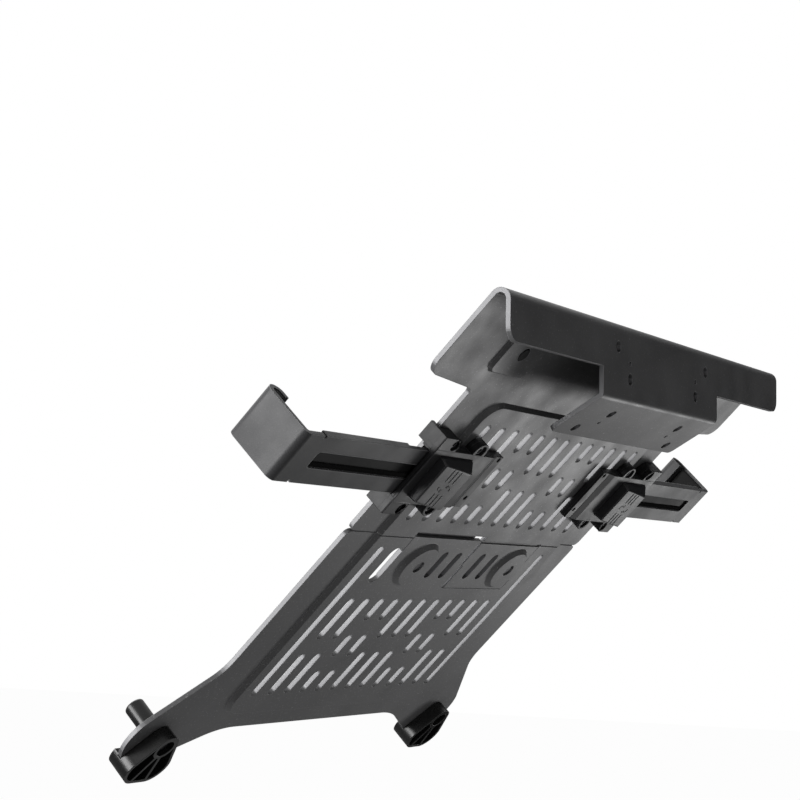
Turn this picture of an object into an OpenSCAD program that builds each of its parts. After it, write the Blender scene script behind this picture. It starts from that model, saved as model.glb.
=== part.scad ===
// Laptop tray mount: a two-part pressed steel tray with a hole pattern flange for a monitor arm,
// two ratchet clamp arms with release buttons, and two front feet with stop posts.
//
// World frame: the flange's outer face is the plane Y = 0 and faces +Y, Z is up, and the origin
// is midway between the upper pair of flange holes. The user sits on the -Y side.
// Tray frame: x across, y up the slope of the plate (called v here), z square to the plate (w),
// with w = 0 at the underside of the pressed panel and v = 0 at the rear of the lower slots.

/* [Sheet] */
// Thickness of the steel sheet
sheet_t = 2; // [1.5:0.1:2.5]
// Depth by which the panel is pressed below the border
panel_drop = 2; // [1:0.1:2.5]
// Slope width of the pressed wall round the panel
panel_wall = 1.5; // [1:0.1:2.5]
// Half width of the pressed panel at its foot
panel_half_w = 88; // [84:0.5:94]
// Front edge of the pressed panel
panel_front_v = -74; // [-78:0.5:-68]
// Rear edge of the pressed panel
panel_rear_v = 113; // [108:0.5:115]
// Corner radius of the pressed panel
panel_r = 11; // [6:0.5:16]

/* [Tray outline] */
// Half width of the plate between legs and wings
neck_half_w = 110; // [104:0.5:116]
// Seam between front and rear plate
seam_v = 37.3; // [36:0.1:39]
// Gap left open along the seam
seam_gap = 0.6; // [0.3:0.1:1]
// Corner radius of both plates at the seam
seam_corner_r = 3; // [1:0.5:5]
// Front edge of the tray between its legs
front_edge_v = -84; // [-90:0.5:-80]
// Half width of the straight part of the front edge
front_edge_half_w = 65; // [55:1:72]
// Radius between the front edge and a leg
front_fillet_r = 45; // [30:1:60]
// Start of the flare on the outer side of a leg
flare_v = -40; // [-46:1:-30]
// Radius at the start of the flare
flare_r = 18; // [12:1:22]
// Distance of a leg's end from the middle of the tray
leg_x = 119.5; // [114:0.5:125]
// Place of a leg's end along the tray
leg_v = -86; // [-90:0.5:-82]
// Radius of a leg's round end
leg_r = 17.7; // [16:0.1:20]
// Half width of the wings and of the flange
wing_half_w = 150; // [140:1:160]
// Front edge of the wings where they leave the neck
wing_front_v = 116.2; // [115.5:0.1:120]
// How far the wings' front edge slants back towards its ends
wing_slant = 2.8; // [0:0.1:4]
// Corner radius of the wings
wing_r = 7; // [4:0.5:10]
// Fillet between neck and wings
wing_fillet_r = 3; // [1:0.5:5]

/* [Flange and tab] */
// Angle between the tray and the horizontal when the flange is upright
incline = 45; // [30:1:60]
// Place of the sharp corner between plate and flange along the tray
apex_v = 170; // [166:0.5:175]
// Outer radius of the bend between plate and flange
top_bend_r = 4.5; // [3:0.1:5]
// Height of the flange from sharp corner to sharp corner
flange_h = 39; // [37:0.5:44]
// Height of the flange's wings
flange_wing_h = 26.6; // [24:0.2:29]
// Corner radius of the flange's wings
flange_wing_r = 6; // [3:0.5:8]
// Half width of the middle of the flange and of the tab
tab_half_w = 65; // [58:0.5:72]
// Angle between flange and tab
tab_angle = 120; // [110:1:135]
// Length of the tab from the sharp corner
tab_len = 27.4; // [26:0.2:32]
// Outer radius of the bend between flange and tab
tab_bend_r = 3; // [2.5:0.1:4]
// Corner radius at the tab's free end
tab_corner_r = 2.5; // [1:0.5:5]
// Large spacing of the monitor arm's hole pattern
pattern_large = 100; // [100:1:100]
// Small spacing of the monitor arm's hole pattern
pattern_small = 75; // [75:1:75]
// Drop from the flange's sharp upper corner to its large hole pair
flange_row_drop = 17; // [16:0.2:19]
// Distance from the sharp lower corner to the tab's large hole pair
tab_row_out = 22.4; // [21:0.2:23]
// Diameter of the pattern holes
pattern_hole_d = 5; // [4.5:0.1:5.5]
// Diameter of the pilot holes above the small pattern
pilot_hole_d = 2; // [1.5:0.1:3]
// Distance of the pilot holes from the small pattern
pilot_offset = 6.7; // [5:0.1:7.5]

/* [Slots] */
// Distance between slot columns
slot_pitch = 12.86; // [12:0.02:13.2]
// Width of a slot
slot_w = 5; // [3:0.1:6]
// Rear end of the lower slots
lower_top_v = 0; // [-2:0.5:2]
// Length of the lower slot field
lower_len = 60.6; // [50:0.2:64]
// Front end of the upper slots
upper_bottom_v = 47.3; // [46:0.1:50]
// Length of the upper slot field
upper_len = 54.8; // [50:0.2:58]
// Web between two slots of one column
slot_web = 9.6; // [8:0.1:11]
// Distance of the side slots from the middle
side_slot_x = 77.5; // [76.5:0.1:79]
// Width of a side slot
side_slot_w = 4.5; // [3.4:0.1:5]

/* [Overlap joint of the two plates] */
// Front end of the band in which the plates lap over each other
lap_front_v = 7.5; // [4:0.1:9]
// Rear end of the front plate's outer tongue
lap_rear_v = 38; // [37:0.1:40]
// Gap between the front plate's tongue and the rear plate
lap_rear_gap = 2.7; // [1:0.1:4]
// Width of the front plate's outer tongue
front_tongue_w = 62; // [56:0.5:63]
// Width of the rear plate's outer tongue
rear_tongue_w = 60; // [56:0.5:62]
// Gap between the two outer tongues
tongue_gap = 2; // [1:0.1:3]
// Middle of the gap between the tongues
tongue_split_x = -4.4; // [-6:0.1:-2]
// Sideways step of that gap half way along the tongues
tongue_step = 1.4; // [0:0.1:2]
// Width of the relief slot beside the front plate's tongue
relief_w = 8.3; // [4:0.1:9]
// Inner laps are this much narrower on each side than the tongues over them
lap_inset = 4; // [2:0.5:6]
// Play between the lapped sheets
lap_play = 0.1; // [0.05:0.05:0.3]
// Place of the joint screws along the tray
joint_v = 21.8; // [19:0.1:24]
// Distance of the right joint screw from the middle
joint_right_x = 37.5; // [30:0.5:44]
// Distance of the left joint screw from the middle
joint_left_x = 51; // [46:0.5:52]
// Radius of a joint boss at its foot
joint_boss_r = 13; // [12:0.1:14]
// Hole in a joint boss
joint_hole_d = 6.5; // [6:0.1:7]
// Head diameter of a joint screw
joint_head_d = 13; // [11:0.1:14]

/* [Rear bumpers] */
// Distance of a bumper from the middle
bumper_x = 97.7; // [94:0.1:104]
// Place of the bumpers along the tray
bumper_v = 138.1; // [134:0.1:142]
// Size of a bumper's pressed seat across the tray
bumper_seat_w = 31; // [28:0.5:34]
// Size of a bumper's pressed seat along the tray
bumper_seat_l = 24; // [20:0.5:27]
// Depth of the pressed seat
bumper_seat_drop = 1.5; // [1:0.1:1.8]
// Height of a bumper above the plate
bumper_proud = 3; // [2:0.1:4]
// Hole for a bumper's plug
bumper_hole_d = 6.5; // [5:0.1:8]

/* [Clamp housing] */
// Middle of the clamps along the tray
clamp_v = 74.5; // [73:0.1:76]
// Length of the housing's foot inwards of its inner screws
foot_inner_l = 6.2; // [5:0.1:8]
// Length of the housing's foot from its inner screws to the ramp
foot_outer_l = 9.5; // [6:0.1:10]
// End of the housing's ramp
ramp_top_x = 72.3; // [70:0.1:74]
// Outer face of the housing
housing_outer_x = 121; // [116:0.5:124]
// Width of the housing's block
housing_w = 27.8; // [27.4:0.1:29]
// Height of the housing below the panel, with its cover
housing_h = 8.5; // [8.2:0.1:9.5]
// Thickness of the cover
cover_t = 1.4; // [1:0.1:2]
// Thickness of the housing's foot at its inner end
foot_plate_t = 1.8; // [1.4:0.1:2.2]
// Wall between the pocket and the housing's sides
housing_wall = 1.3; // [1:0.1:1.5]
// Inner end of the pocket
pocket_inner_x = 76; // [75:0.1:78]
// Outer end of the pocket
pocket_outer_x = 113; // [110:0.1:114]
// Gap between the housing and the sheet that it lies on
seat_play = 0.1; // [0.05:0.05:0.3]
// Distance of the outer pair of housing screws from the middle
ear_outer_x = 102; // [100:0.1:104]
// Half distance between front and rear housing screws
ear_half_v = 17.2; // [17:0.1:18]
// Radius of the lug round a housing screw
ear_r = 5; // [4.6:0.1:5.6]
// Height of the inner lugs
ear_h = 5.2; // [4.8:0.1:6]
// Length of the end blocks past the housing's block
end_block_l = 9.6; // [9:0.1:11]
// Inner side of the end blocks
end_block_inner_x = 96.5; // [95:0.1:97]
// Diameter of the screw recess in a lug
ear_recess_d = 6.4; // [6:0.1:7]
// Floor under a housing screw's head
ear_floor = 2.2; // [1.6:0.1:2.6]
// Shank diameter of the housing screws
clamp_screw_d = 3; // [2.5:0.1:3.2]
// Head diameter of the housing screws
clamp_head_d = 5.6; // [5:0.1:5.8]
// Head height of the housing screws
clamp_head_h = 1.8; // [1.2:0.1:2.2]
// Half distance between the two screws at the housing's inner end
foot_screw_half_v = 10; // [9:0.1:10.5]

/* [Clamp arm] */
// Outer face of the hook when the arm is pulled out all the way
hook_x = 200.7; // [196:0.1:206]
// Travel of the arm
arm_travel = 36; // [30:0.5:36]
// Width of the arm
arm_w = 23.4; // [22:0.1:24]
// Thickness of the arm's sheet
arm_t = 2; // [1.6:0.1:2.1]
// Gap between the arm and what it slides on
arm_play = 0.3; // [0.2:0.05:0.4]
// Inner end of the arm
arm_inner_x = 98; // [98:0.1:99.5]
// Height of the stiffening rims over the arm's sheet
arm_rim_h = 1.3; // [0.8:0.1:1.6]
// Width of the stiffening rims
arm_rim_w = 1.5; // [1:0.1:2]
// Height of the hook over the arm's underside
hook_h = 26.8; // [24:0.2:29]
// Outer radius of the bend between arm and hook
hook_bend_r = 3; // [2.5:0.1:4]
// Outer radius of the curl at the hook's top
curl_r = 4; // [3.4:0.1:4.5]
// Length of the lip below the curl
lip_len = 3; // [1:0.1:5]
// Width of the rack recess
rack_w = 8; // [6:0.1:9]
// Depth of the rack recess
rack_depth = 1.2; // [0.8:0.1:1.4]
// Distance from the hook to the rack's outer end
rack_start = 16; // [14:0.1:20]
// Distance between rack teeth
tooth_pitch = 2; // [1.5:0.1:3]
// Height of a rack tooth
tooth_h = 0.9; // [0.5:0.1:1.1]
// Width of the rack teeth
tooth_w = 2.5; // [2:0.1:4]
// Distance from the hook to the notches in the arm's edges
notch_dist = 12.4; // [10:0.1:14]
// Thickness of the pad on the hook
hook_pad_t = 1.5; // [1:0.1:2.5]

/* [Release button] */
// Inner edge of the button
button_inner_x = 80.4; // [79:0.1:82]
// Outer edge of the button
button_outer_x = 103.5; // [102:0.1:106]
// Length of the button along the tray
button_len = 21.6; // [20:0.1:23]
// How far the button stands out of the housing
button_proud = 0.7; // [0.4:0.1:1.2]
// Thickness of the button's top
button_t = 1.2; // [1:0.1:1.4]
// Travel of the button
button_travel = 0.8; // [0.6:0.1:0.8]
// Height of the grip ridges
ridge_h = 0.5; // [0.3:0.1:0.8]

/* [Pawl] */
// Distance of the pawl's pin from the middle of the tray
pin_x = 92; // [91:0.1:93]
// Depth of the pin below the panel
pin_depth = 5.2; // [5.1:0.1:5.4]
// Diameter of the pin
pin_d = 1.6; // [1.4:0.1:1.8]
// Radial play of the pin in the pawl and in the housing
pin_play = 0.05; // [0.02:0.01:0.08]
// Outer diameter of the pawl's hub
hub_d = 3.6; // [3.2:0.1:3.8]
// Outer end of the pawl
pawl_outer_x = 106; // [104:0.1:107]
// Inner end of the pawl
pawl_inner_x = 83.5; // [83:0.1:85]

/* [Feet and stop posts] */
// Depth of the feet below the panel
foot_depth = 4.8; // [4:0.1:6]
// Height of a foot's lip over the plate
foot_lip_h = 3; // [2:0.1:4]
// Length of a foot's lip
foot_lip_l = 9.5; // [7:0.1:9.6]
// Radius of a foot's rear end
foot_rear_r = 6.8; // [6.6:0.1:8]
// Radius of a foot's two front corners
foot_front_r = 8.5; // [7:0.1:10]
// Half distance between the centres of the front corners
foot_front_half_w = 4.6; // [3:0.1:7]
// Distance of those centres in front of the leg's end
foot_front_out = 12.5; // [12:0.1:14]
// Wall of a foot
foot_wall = 1.5; // [1.2:0.1:2]
// Inner radius of the ring in a foot
foot_ring_r = 4.4; // [4.2:0.1:4.8]
// Gap between a foot's lip and the edge of the leg
foot_play = 0.2; // [0.1:0.05:0.4]
// Diameter of a stop post
post_d = 9; // [8:0.1:10]
// Height of a stop post above the plate
post_h = 16; // [12:0.5:20]
// Shank diameter of a foot screw
foot_screw_d = 5; // [4:0.1:5]
// Head diameter of a foot screw
foot_head_d = 7.6; // [7:0.1:8]
// Head height of a foot screw
foot_head_h = 3; // [2:0.1:3.4]

/* [Hidden] */
$fn = 48;

// Overrun of a cutting solid past the faces that it cuts
over = 1;
// Radial play of a screw's shank in its hole
screw_play = 0.1;
// Depth by which a straight edge or a bend's end starts inside the shape that it runs into
bite = 0.02;
// How far a flat sheet runs on into its bend
bend_lap = 0.1;

// Levels square to the plate
border_w = panel_drop;
top_w = panel_drop + sheet_t;
arm_under_w = -arm_play - arm_t;
shelf_w = arm_under_w - arm_play;
cover_w = -(housing_h - cover_t);
button_face_w = -(housing_h + button_proud);
button_inside_w = button_face_w + button_t;
pin_w = -pin_depth;

// Flange and tab
top_bend_inset = top_bend_r * tan((180 - incline) / 2);
tab_turn = 180 - tab_angle;
tab_bend_inset = tab_bend_r * tan(tab_turn / 2);
apex_z = flange_row_drop;
flange_foot_z = apex_z - flange_h;
pattern_step = (pattern_large - pattern_small) / 2;

// Slot fields
slot_columns = 5;
short_columns = [2, 3];
side_slot_start_v = upper_bottom_v - 0.3;
side_slot_end_v = upper_bottom_v + upper_len;
side_slot_front_v = lower_top_v - lower_len - 0.4;
side_slot_rear_v = seam_v - 5.8;
band_slot_w = 5;
band_slot_l = 16.4;

// Housing
half_housing = housing_w / 2;
half_pocket = half_housing - housing_wall;
half_arm = arm_w / 2;
half_channel = half_arm + arm_play;
channel_inner_x = arm_inner_x - arm_travel - 0.5;
ear_inner_x = side_slot_x;
foot_screw_x = 4 * slot_pitch;
housing_inner_x = foot_screw_x - foot_inner_l;
ramp_foot_x = foot_screw_x + foot_outer_l;
half_button = button_len / 2;

// Button lugs that straddle the pin
lug_t = 1.2;
lug_half_l = 4;
ledge_t = 0.9;
pawl_tip_w = shelf_w;

// Leg outline
leg_c = [leg_x, leg_v];
flare_c = [neck_half_w + flare_r, flare_v];
front_c = [front_edge_half_w, front_edge_v - front_fillet_r];

// Line that touches two circles: returns its two touching points.
// A negative second radius gives the line that crosses between them.
function touch(c1, r1, c2, r2, side) =
    let (d = c2 - c1, far = norm(d), a = atan2(d[1], d[0]) + side * acos((r1 - r2) / far))
    [c1 + r1 * [cos(a), sin(a)], c2 + r2 * [cos(a), sin(a)]];

// Placing helpers
module tray_frame() {
    translate([0, 0, apex_z]) rotate([incline, 0, 0]) translate([0, -apex_v, -top_w]) children();
}

module on_side(side) {
    if (side < 0) mirror([1, 0, 0]) children();
    else children();
}

module both_sides() {
    for (side = [-1, 1]) on_side(side) children();
}

// Extrusions: a (y, z) outline along x, an (x, z) outline along y, an (x, y) outline along z
module along_x(x0, x1) {
    translate([x0, 0, 0]) rotate([90, 0, 90]) linear_extrude(x1 - x0) children();
}

module along_v(v0, v1) {
    translate([0, v1, 0]) rotate([90, 0, 0]) linear_extrude(v1 - v0) children();
}

module along_w(w0, w1) {
    translate([0, 0, w0]) linear_extrude(w1 - w0) children();
}

// Outlines
module box2(x0, x1, y0, y1) {
    translate([x0, y0]) square([x1 - x0, y1 - y0]);
}

module round_box2(x0, x1, y0, y1, r) {
    box2(x0 + r, x1 - r, y0, y1);
    box2(x0, x1, y0 + r, y1 - r);
    for (x = [x0 + r, x1 - r], y = [y0 + r, y1 - r]) translate([x, y]) circle(r);
}

module slot2(x, v0, v1, w) {
    box2(x - w / 2, x + w / 2, v0 + w / 2, v1 - w / 2);
    for (v = [v0 + w / 2, v1 - w / 2]) translate([x, v]) circle(w / 2);
}

// Bent strip between two radii: starts at an angle, turns on by another, and may end in stubs
module bend2(r_in, r_out, start, turn, stub = 1) {
    far = 2.2 * r_out;
    rotate(start) {
        intersection() {
            difference() {
                circle(r_out);
                circle(r_in);
            }
            polygon(concat([[0, 0]], [for (k = [0:3]) far * [cos(turn * k / 3), sin(turn * k / 3)]]));
        }
        if (stub > 0) {
            box2(r_in, r_out, -stub, 0);
            rotate(turn) box2(r_in, r_out, 0, stub);
        }
    }
}

// Block with sloping sides and round corners, smaller by inset at w0 than at w1
module pressed_block(x0, x1, v0, v1, r, inset, w0, w1) {
    along_x(x0 + r, x1 - r)
        polygon([[v0 + inset, w0], [v1 - inset, w0], [v1, w1], [v0, w1]]);
    along_v(v0 + r, v1 - r)
        polygon([[x0 + inset, w0], [x1 - inset, w0], [x1, w1], [x0, w1]]);
    for (x = [x0 + r, x1 - r], v = [v0 + r, v1 - r])
        translate([x, v, w0]) cylinder(h = w1 - w0, r1 = r - inset, r2 = r);
}

// Pressed panel: the part that stands below the border, and the hollow above it
module panel_below() {
    pressed_block(-panel_half_w, panel_half_w, panel_front_v, panel_rear_v, panel_r,
        panel_wall, 0, border_w);
}

module panel_hollow() {
    shift = sheet_t / 2;
    pressed_block(-panel_half_w + shift, panel_half_w - shift, panel_front_v + shift,
        panel_rear_v - shift, panel_r - shift, panel_wall, sheet_t, top_w);
    along_w(top_w, top_w + over)
        round_box2(-panel_half_w + shift, panel_half_w - shift, panel_front_v + shift,
            panel_rear_v - shift, panel_r - shift);
}

// One field of slots: long columns have two slots and short columns three
module slot_field(v0, len) {
    long_l = (len - slot_web) / 2;
    short_l = (len - 2 * slot_web) / 3;
    for (n = [-slot_columns:slot_columns]) {
        short = abs(n) == short_columns[0] || abs(n) == short_columns[1];
        l = short ? short_l : long_l;
        for (k = [0:short ? 2 : 1])
            slot2(n * slot_pitch, v0 + k * (l + slot_web), v0 + k * (l + slot_web) + l, slot_w);
    }
}

// Regions that the two plates take of the panel
right_tongue_x0 = tongue_split_x + tongue_gap / 2;
right_tongue_x1 = right_tongue_x0 + front_tongue_w;
left_tongue_x1 = tongue_split_x - tongue_gap / 2;
left_tongue_x0 = left_tongue_x1 - rear_tongue_w;

// Outline of the front plate's outer tongue, grown by a gap for the cut in the rear plate
module front_tongue2(gap) {
    box2(right_tongue_x0 - gap, right_tongue_x1 + gap, joint_v, lap_rear_v + gap);
    box2(right_tongue_x0 - tongue_step - gap, right_tongue_x1 + gap, 0, joint_v);
}

module rear_tongue2(gap) {
    box2(left_tongue_x0 - gap, left_tongue_x1 + gap, joint_v, seam_v + over);
    box2(left_tongue_x0 - gap, left_tongue_x1 - tongue_step + gap, lap_front_v - gap, joint_v + over);
}

// The hollow of a dish is narrower than its outside by this much, and the lap's dish sits in it
dish_shift = sheet_t * (sqrt(2) - 1);
lap_dish_r = joint_boss_r - dish_shift - lap_play;

// Dish round a joint screw: base radius r at level w_top, drop downwards
module dish(x, w_top, r) {
    translate([x, joint_v, w_top - panel_drop])
        cylinder(h = panel_drop, r1 = r - panel_drop, r2 = r);
}

module dish_hollow(x, w_top, r) {
    dish(x, w_top + sheet_t, r - dish_shift);
    translate([x, joint_v, w_top + sheet_t]) cylinder(h = over, r = r - dish_shift);
}

module joint_hole(x) {
    translate([x, joint_v, -top_w]) cylinder(h = 3 * top_w, d = joint_hole_d);
}

// Inner lap of one plate, lying on the other plate's tongue, with its joggle at the root.
// It starts at v_root on the plate's own panel and runs to v_end.
module inner_lap(x0, x1, v_root, v_end, x_screw) {
    s = v_end > v_root ? 1 : -1;
    under = sheet_t + lap_play;
    difference() {
        union() {
            along_x(x0, x1) polygon([
                [v_root - 4.5 * s, sheet_t], [v_root - 3 * s, top_w], [v_end, top_w],
                [v_end, under], [v_root - 0.3 * s, under], [v_root - 0.3 * s, sheet_t / 2],
                [v_root - 4.5 * s, sheet_t / 2]
            ]);
            dish(x_screw, under, lap_dish_r);
        }
        dish_hollow(x_screw, under - lap_play, lap_dish_r);
        joint_hole(x_screw);
    }
}

// Outline of the front plate: panel end, neck and two legs
module front_outline2() {
    flare = touch(flare_c, flare_r - bite, leg_c, bite - leg_r, -1);
    front = touch(front_c, front_fillet_r - bite, leg_c, bite - leg_r, 1);
    rear_v = seam_v - seam_gap / 2;
    difference() {
        union() {
            round_box2(-neck_half_w, neck_half_w, flare_v - 2 * seam_corner_r, rear_v, seam_corner_r);
            for (side = [-1, 1]) scale([side, 1]) polygon([
                [0, rear_v - seam_corner_r], [neck_half_w, rear_v - seam_corner_r],
                [neck_half_w, flare_v], flare[0], flare[1], leg_c, front[1], front[0],
                [front_edge_half_w, front_edge_v], [0, front_edge_v]
            ]);
            for (side = [-1, 1]) translate([side * leg_x, leg_v]) circle(leg_r);
        }
        for (side = [-1, 1]) {
            translate([side * flare_c[0], flare_c[1]]) circle(flare_r);
            translate([side * front_c[0], front_c[1]]) circle(front_fillet_r);
        }
    }
}

// Outline of the rear plate: neck and wings, up to the bend
module rear_outline2() {
    tip_v = wing_front_v + wing_slant;
    end_v = apex_v - top_bend_inset + bend_lap;
    front_v = seam_v + seam_gap / 2;
    round_box2(-neck_half_w, neck_half_w, front_v, wing_front_v + over, seam_corner_r);
    box2(-wing_half_w, wing_half_w, tip_v + wing_r, end_v);
    polygon([
        [-neck_half_w, wing_front_v], [neck_half_w, wing_front_v],
        [wing_half_w - wing_r, tip_v], [wing_half_w - wing_r, tip_v + wing_r + over],
        [-wing_half_w + wing_r, tip_v + wing_r + over], [-wing_half_w + wing_r, tip_v]
    ]);
    for (side = [-1, 1]) translate([side * (wing_half_w - wing_r), tip_v + wing_r]) circle(wing_r);
    for (side = [-1, 1]) scale([side, 1]) difference() {
        box2(neck_half_w - over, neck_half_w + wing_fillet_r,
            wing_front_v - wing_fillet_r, wing_front_v + 0.3);
        translate([neck_half_w + wing_fillet_r, wing_front_v - wing_fillet_r]) circle(wing_fillet_r);
    }
}

// Room for the rear plate's outer tongue, and the gaps on both sides of the front plate's own
module front_plate_gaps2() {
    rear_tongue2(seam_gap / 2);
    box2(left_tongue_x1 - tongue_step, right_tongue_x0 - tongue_step, lap_front_v, joint_v);
    box2(left_tongue_x1, right_tongue_x0, joint_v, seam_v + over);
    box2(right_tongue_x1, right_tongue_x1 + seam_gap, joint_v, seam_v + over);
}

module front_plate_cuts2() {
    slot_field(lower_top_v - lower_len, lower_len);
    for (side = [-1, 1])
        slot2(side * side_slot_x, side_slot_front_v, side_slot_rear_v, side_slot_w);
    slot2(right_tongue_x1 + relief_w / 2, lap_front_v + 2.5, joint_v + 9.4, relief_w);
    for (n = [0, 1]) slot2(right_tongue_x0 + 9.1 + n * 13, joint_v - band_slot_l / 2,
        joint_v + band_slot_l / 2, band_slot_w);
}

module front_tray_plate_shape() {
    near_end_v = seam_v - seam_gap / 2;
    difference() {
        union() {
            difference() {
                union() {
                    along_w(border_w, top_w) front_outline2();
                    intersection() {
                        panel_below();
                        along_w(-over, border_w + over)
                            box2(-neck_half_w, neck_half_w, panel_front_v - over, near_end_v);
                    }
                    along_w(0, sheet_t) front_tongue2(0);
                }
                panel_hollow();
                along_w(-over, top_w + over) front_plate_gaps2();
            }
            dish(joint_right_x, 0, joint_boss_r);
            inner_lap(left_tongue_x0 + lap_inset, left_tongue_x1 - lap_inset, lap_front_v,
                seam_v - 2, -joint_left_x);
        }
        dish_hollow(joint_right_x, 0, joint_boss_r);
        joint_hole(joint_right_x);
        along_w(-over, top_w + over) front_plate_cuts2();
        both_sides() translate([leg_x, leg_v, 0])
            cylinder(h = top_w + over, d = foot_screw_d + 2 * screw_play);
    }
}

module front_tray_plate() {
    color([0.36, 0.37, 0.38]) tray_frame() front_tray_plate_shape();
}

// Seat pressed into the wing for a bumper
module bumper_seat(shift, w0, w1) {
    hw = bumper_seat_w / 2 - shift;
    hl = bumper_seat_l / 2 - shift;
    pressed_block(bumper_x - hw, bumper_x + hw, bumper_v - hl, bumper_v + hl, 4 - shift, 1, w0, w1);
}

module rear_plate_cuts2() {
    slot_field(upper_bottom_v, upper_len);
    for (side = [-1, 1]) {
        slot2(side * side_slot_x, side_slot_start_v, side_slot_end_v, side_slot_w);
        for (s = [-1, 1]) translate([side * ear_outer_x, clamp_v + s * ear_half_v])
            circle(d = clamp_screw_d + 4 * screw_play);
    }
    for (n = [0, 1]) slot2(left_tongue_x1 - 12.4 - n * 13, joint_v - band_slot_l / 2,
        joint_v + band_slot_l / 2, band_slot_w);
}

// Tray part of the rear plate
module rear_sheet() {
    near_start_v = seam_v + seam_gap / 2;
    groove_v = seam_v - 0.8;
    difference() {
        union() {
            difference() {
                union() {
                    along_w(border_w, top_w) rear_outline2();
                    intersection() {
                        panel_below();
                        along_w(-over, border_w + over)
                            box2(-neck_half_w, neck_half_w, near_start_v, panel_rear_v + over);
                    }
                    along_w(0, sheet_t) rear_tongue2(0);
                    both_sides() bumper_seat(0, border_w - bumper_seat_drop, border_w);
                }
                panel_hollow();
                along_w(-over, sheet_t + over)
                    box2(right_tongue_x0 - tongue_gap, right_tongue_x1 + seam_gap, 0,
                        lap_rear_v + lap_rear_gap);
                both_sides() bumper_seat(0.8, top_w - bumper_seat_drop, top_w);
                both_sides() bumper_hollow();
            }
            dish(-joint_left_x, 0, joint_boss_r);
            inner_lap(right_tongue_x0 + lap_inset, right_tongue_x1 - lap_inset,
                lap_rear_v + lap_rear_gap, lap_front_v + 4, joint_right_x);
        }
        dish_hollow(-joint_left_x, 0, joint_boss_r);
        joint_hole(-joint_left_x);
        along_w(-over, top_w + over) rear_plate_cuts2();
        along_w(-over, 0.8) box2(left_tongue_x0 - over, left_tongue_x1 + over, groove_v, groove_v + 1.6);
        both_sides() translate([bumper_x, bumper_v, 0]) cylinder(h = top_w + over, d = bumper_hole_d);
    }
}

module bumper_hollow() {
    along_w(top_w, top_w + over) round_box2(bumper_x - bumper_seat_w / 2 + 0.8,
        bumper_x + bumper_seat_w / 2 - 0.8, bumper_v - bumper_seat_l / 2 + 0.8,
        bumper_v + bumper_seat_l / 2 - 0.8, 3.2);
}

// Holes of the monitor arm's pattern in a face whose large pair lies at y = 0
module pattern_holes2(step) {
    for (x = [-1, 1] * pattern_large / 2) translate([x, 0]) circle(d = pattern_hole_d);
    for (x = [-1, 1] * pattern_small / 2) {
        translate([x, step * pattern_step]) circle(d = pattern_hole_d);
        translate([x, step * (pattern_step - pilot_offset)]) circle(d = pilot_hole_d);
    }
}

module flange() {
    wing_z = apex_z - flange_wing_h;
    top_z = apex_z - top_bend_inset + bend_lap;
    rotate([90, 0, 0]) linear_extrude(sheet_t) difference() {
        union() {
            box2(-wing_half_w, wing_half_w, wing_z + flange_wing_r, top_z);
            box2(-wing_half_w + flange_wing_r, wing_half_w - flange_wing_r, wing_z, top_z);
            for (side = [-1, 1])
                translate([side * (wing_half_w - flange_wing_r), wing_z + flange_wing_r])
                    circle(flange_wing_r);
            box2(-tab_half_w, tab_half_w, flange_foot_z + tab_bend_inset - bend_lap, wing_z + over);
        }
        pattern_holes2(-1);
    }
}

module tab() {
    start = tab_bend_inset - bend_lap;
    translate([0, 0, flange_foot_z]) rotate([90 + tab_angle, 0, 0])
        translate([0, 0, -sheet_t]) linear_extrude(sheet_t) difference() {
            union() {
                box2(-tab_half_w, tab_half_w, start, tab_len - tab_corner_r);
                round_box2(-tab_half_w, tab_half_w, start, tab_len, tab_corner_r);
            }
            translate([0, tab_row_out]) pattern_holes2(-1);
        }
}

// Rounded bend of the sheet, a hair smaller all round than the flat sheets that run into it
module sheet_bend(half_w, r, start, turn) {
    along_x(bite - half_w, half_w - bite) bend2(r - sheet_t + bite, r - bite, start, turn, 0);
}

module rear_tray_plate() {
    color([0.38, 0.39, 0.40]) {
        tray_frame() rear_sheet();
        translate([0, -top_bend_r, apex_z - top_bend_inset])
            sheet_bend(wing_half_w, top_bend_r, 0, 180 - incline);
        flange();
        translate([0, -tab_bend_r, flange_foot_z + tab_bend_inset])
            sheet_bend(tab_half_w, tab_bend_r, -tab_turn, tab_turn);
        tab();
    }
}

// Joint screws: flat heads in the dishes on the laptop's side
module plate_screws() {
    head_w = sheet_t + 2 * lap_play;
    color([0.08, 0.08, 0.09]) tray_frame() for (x = [joint_right_x, -joint_left_x])
        translate([x, joint_v, 0]) {
            translate([0, 0, head_w]) cylinder(h = 1.5, d = joint_head_d);
            translate([0, 0, -panel_drop + 0.8]) cylinder(h = head_w + panel_drop, d = joint_hole_d
                - 2 * screw_play);
        }
}

// Rubber bumpers with a plug through the wing
module rear_bumpers() {
    seat_w = top_w - bumper_seat_drop;
    hw = bumper_seat_w / 2 - 2.6;
    hl = bumper_seat_l / 2 - 2.6;
    color([0.06, 0.06, 0.06]) tray_frame() both_sides() {
        along_w(seat_w, top_w + bumper_proud - 0.6)
            round_box2(bumper_x - hw, bumper_x + hw, bumper_v - hl, bumper_v + hl, 2.5);
        along_w(seat_w, top_w + bumper_proud)
            round_box2(bumper_x - hw + 1, bumper_x + hw - 1, bumper_v - hl + 1, bumper_v + hl - 1, 2);
        translate([bumper_x, bumper_v, border_w - bumper_seat_drop - 0.6])
            cylinder(h = 2 * sheet_t, d = bumper_hole_d - 2 * screw_play);
    }
}

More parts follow.
